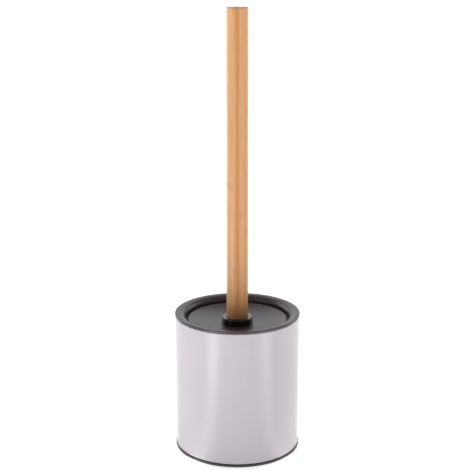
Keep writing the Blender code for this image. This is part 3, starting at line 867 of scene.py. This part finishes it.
def make_nylon():
    """Bristle nylon: milky, slightly glossy, with faint lengthwise drawing marks."""
    nylon = Finish("milky_white_nylon", Specular_IOR_Level=0.5, IOR=1.53)
    cloud = nylon.noise(180.0, 3.0)
    nylon.set("Base Color", nylon.blend(cloud, tone(243, 243, 243), tone(252, 252, 251)))
    nylon.set("Roughness", nylon.remap(cloud, 0.3, 0.7, 0.3, 0.42))
    nylon.set("Normal", nylon.bump(nylon.noise(5000.0, 2.0), 0.004))
    return nylon.material


# ---------------------------------------------------------------- studio


def make_floor():
    """A pale floor that reaches far past the view, as one flat square. Two pools of light are
    painted into its glow, each a sector round the object with soft sides; the paint shows them as
    upright bands."""
    corners = [(-1, -1), (1, -1), (1, 1), (-1, 1)]
    mesh = bpy.data.meshes.new("floor")
    mesh.from_pydata([(FLOOR_HALF * x, FLOOR_HALF * y, 0) for x, y in corners], [], [(0, 1, 2, 3)])
    pale = Finish("pale_floor", Specular_IOR_Level=0.0)
    pale.set("Base Color", tone(250, 250, 250))
    pale.set("Roughness", 0.9)
    pale.set("Emission Color", (1.0, 1.0, 1.0, 1.0))
    axes = pale.add("SeparateXYZ", {0: pale.place}).outputs
    turn = pale.reckon(axes[0], pale.reckon(axes[1], -1.0, "MULTIPLY"), "ARCTAN2")
    far = pale.add("VectorMath", {0: pale.place}, operation="LENGTH").outputs["Value"]
    # Painted light: the pools are glow added to the floor's own, brighter along two azimuths
    painted_pools = 0.0
    for middle, half_width, strength in PAINTED_LIGHT_POOLS:
        away = pale.reckon(pale.reckon(turn, math.radians(middle)), 0.0, "ABSOLUTE")
        painted_pool = pale.remap(away, 0.0, math.radians(2 * half_width), strength, 0.0, True)
        painted_pools = pale.reckon(painted_pools, painted_pool)
    painted_pools = pale.reckon(painted_pools, pale.remap(far, *PAINTED_POOL_RISE), "MULTIPLY")
    glow = pale.remap(far, *FLOOR_GLOW_CHANGE, FLOOR_GLOW, FAR_FLOOR_GLOW)
    pale.set("Emission Strength", pale.reckon(painted_pools, glow))
    mesh.materials.append(pale.material)
    floor = bpy.data.objects.new("floor", mesh)
    bpy.context.scene.collection.objects.link(floor)


def make_world():
    """Even soft light from all round, brighter in a narrow band that backs the view."""
    world = bpy.data.worlds.new("studio")
    bpy.context.scene.world = world
    world.use_nodes = True
    nodes, links = world.node_tree.nodes, world.node_tree.links
    nodes["Background"].inputs["Color"].default_value = (1.0, 0.99, 1.0, 1.0)
    way = nodes.new("ShaderNodeTexCoord")
    split = nodes.new("ShaderNodeSeparateXYZ")
    level = nodes.new("ShaderNodeMapRange")
    level.interpolation_type = "SMOOTHSTEP"
    for socket, value in zip(("From Min", "From Max", "To Min", "To Max"), HORIZON):
        level.inputs[socket].default_value = value
    links.new(way.outputs["Generated"], split.inputs[0])
    links.new(split.outputs["Z"], level.inputs["Value"])
    links.new(level.outputs["Result"], nodes["Background"].inputs["Strength"])


def make_softbox(name, azimuth, elevation, width, height, power):
    """A rectangular light that faces the object and isn't seen itself."""
    turn, rise = math.radians(azimuth), math.radians(elevation)
    flat = math.cos(rise)
    way = Vector((-math.sin(turn) * flat, -math.cos(turn) * flat, math.sin(rise)))
    light = bpy.data.lights.new(name, "AREA")
    light.shape = "RECTANGLE"
    light.size, light.size_y = width, height
    light.energy = power
    box = bpy.data.objects.new(name, light)
    box.location = Vector((0.0, 0.0, SOFTBOX_AIM)) + way * SOFTBOX_DISTANCE
    box.rotation_euler = way.to_track_quat("Z", "Y").to_euler()
    box.visible_camera = False
    bpy.context.scene.collection.objects.link(box)


def make_camera():
    """The view: level across, tilted down, with a small shift for the framing."""
    lens = bpy.data.cameras.new("view")
    lens.sensor_width = CAMERA_SENSOR
    lens.lens = CAMERA_LENS
    lens.shift_x, lens.shift_y = CAMERA_SHIFT
    lens.clip_end = CAMERA_REACH
    camera = bpy.data.objects.new("view", lens)
    camera.location = (0.0, -CAMERA_DISTANCE, CAMERA_HEIGHT)
    camera.rotation_euler = (math.radians(90 - CAMERA_TILT), 0.0, 0.0)
    bpy.context.scene.collection.objects.link(camera)
    bpy.context.scene.camera = camera


bpy.context.scene.view_settings.view_transform = "Standard"
make_camera()
make_world()
make_floor()
for softbox in SOFTBOXES:
    make_softbox(*softbox)

WHITE_PAINT = make_white_paint()
GRAINED_BLACK = make_grained_black()
GLOSS_BLACK = make_gloss_black()
BAMBOO = make_bamboo()
PAD_FOAM = make_pad_foam()
BRASS = make_metal("turned_brass", tone(214, 178, 106), tone(170, 132, 74), 0.22, 0.42)
ZINC_STEEL = make_metal("zinc_plated_steel", tone(200, 202, 206), tone(168, 170, 172), 0.25, 0.45)
NYLON = make_nylon()

make_sleeve()
make_base_cap()
make_foot_pads()
make_liner()
make_lid()
make_collar()
make_handle()
make_stud()
make_insert()
make_stem()
make_head_core()
chance = np.random.default_rng(SEED)
for number, (middle, reach) in enumerate(row_places(), 1):
    make_bristle_row(number, middle, reach, chance)
make_bristle_tip(chance)
